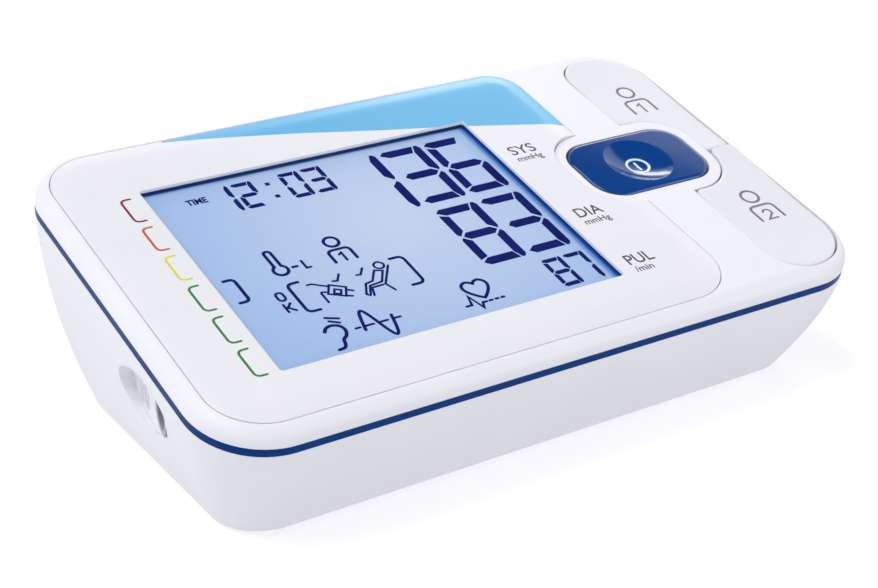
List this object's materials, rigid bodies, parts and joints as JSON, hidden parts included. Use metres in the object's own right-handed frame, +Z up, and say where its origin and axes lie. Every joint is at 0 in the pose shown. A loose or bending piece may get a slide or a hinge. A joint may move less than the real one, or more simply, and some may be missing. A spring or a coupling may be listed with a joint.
{
  "type": "table-top upper-arm blood pressure monitor",
  "caption": "Wedge-shaped table-top blood pressure monitor with a large tilted display, a dimpled start button, user keys, an air socket for an arm cuff and a battery door.",
  "frame": {"origin": "on the table, under the middle of the case", "axes": "+X to the user's right, +Y away from the user, +Z up"},
  "size_m": [0.164, 0.098, 0.0549],
  "materials": {
    "white_case": "moulded, fine satin",
    "white_plate": "moulded, polished, printed",
    "white_keys": "moulded, fine satin",
    "blue_band": "moulded, semi-gloss",
    "blue_button": "moulded, gloss",
    "clear_window": "clear, polished",
    "display_glass": "segment display, backlit",
    "backlight": "light guide",
    "holder_plastic": "moulded",
    "contact_rubber": "layered conductive rubber",
    "circuit_board": "solder mask",
    "screw_steel": "zinc plated",
    "black_plastic": "moulded",
    "capacitor_can": "drawn can",
    "sensor_plastic": "moulded",
    "contact_metal": "nickel plated spring steel",
    "pump_plastic": "moulded",
    "motor_steel": "plated can",
    "manifold_plastic": "moulded",
    "valve_plastic": "moulded",
    "air_hose": "silicone",
    "socket_plastic": "moulded",
    "seal_rubber": "moulded",
    "lead_insulation": "insulated wire",
    "stem_plastic": "moulded",
    "foot_rubber": "moulded",
    "cell_jacket": "printed film over a steel can"
  },
  "bodies": {
    "case": {"lower_shell": "white_case", "upper_shell": "white_case", "face_plate": "white_plate", "trim_band": "blue_band", "display_window": "clear_window", "display_glass": "display_glass", "backlight": "backlight", "display_holder": "holder_plastic", "contact_strip": "contact_rubber", "main_board": "circuit_board", "board_screws": "screw_steel", "case_screws": "screw_steel", "controller_chip": "black_plastic", "buzzer": "black_plastic", "power_jack": "black_plastic", "start_switch": "black_plastic", "user_1_switch": "black_plastic", "user_2_switch": "black_plastic", "capacitor": "capacitor_can", "pressure_sensor": "sensor_plastic", "bridge_contact": "contact_metal", "positive_contact": "contact_metal", "negative_contact": "contact_metal", "pump_head": "pump_plastic", "pump_motor": "motor_steel", "air_manifold": "manifold_plastic", "release_valve": "valve_plastic", "socket_tube": "air_hose", "pump_tube": "air_hose", "valve_tube": "air_hose", "sensor_tube": "air_hose", "cuff_socket": "socket_plastic", "socket_seal": "seal_rubber", "pump_mount_left": "seal_rubber", "pump_mount_right": "seal_rubber", "battery_leads": "lead_insulation", "motor_leads": "lead_insulation", "jack_leads": "lead_insulation", "foot_front_left": "foot_rubber", "foot_front_right": "foot_rubber", "foot_back_left": "foot_rubber", "foot_back_right": "foot_rubber", "battery_cell_1": "cell_jacket", "battery_cell_2": "cell_jacket", "battery_cell_3": "cell_jacket", "battery_cell_4": "cell_jacket"},
    "start_button": {"start_button": "blue_button", "start_stem": "stem_plastic"},
    "user_key_1": {"user_key_1": "white_keys", "user_1_stem": "stem_plastic"},
    "user_key_2": {"user_key_2": "white_keys", "user_2_stem": "stem_plastic"},
    "battery_door": {"battery_door": "white_case"}
  },
  "joints": [
    {"name": "start_press", "type": "slide", "parent": "case", "child": "start_button", "axis": [0, 0.2504, -0.9681], "range_m": [0, 0.001], "stiffness_N_per_m": 1500},
    {"name": "user_1_press", "type": "slide", "parent": "case", "child": "user_key_1", "axis": [0, 0.2504, -0.9681], "range_m": [0, 0.0008], "stiffness_N_per_m": 1500},
    {"name": "user_2_press", "type": "slide", "parent": "case", "child": "user_key_2", "axis": [0, 0.2504, -0.9681], "range_m": [0, 0.0008], "stiffness_N_per_m": 1500},
    {"name": "door_hinge", "type": "hinge", "parent": "case", "child": "battery_door", "pos_m": [0, -0.0308, 0.0008], "axis": [-1, 0, 0], "range_deg": [0, 75]}
  ]
}
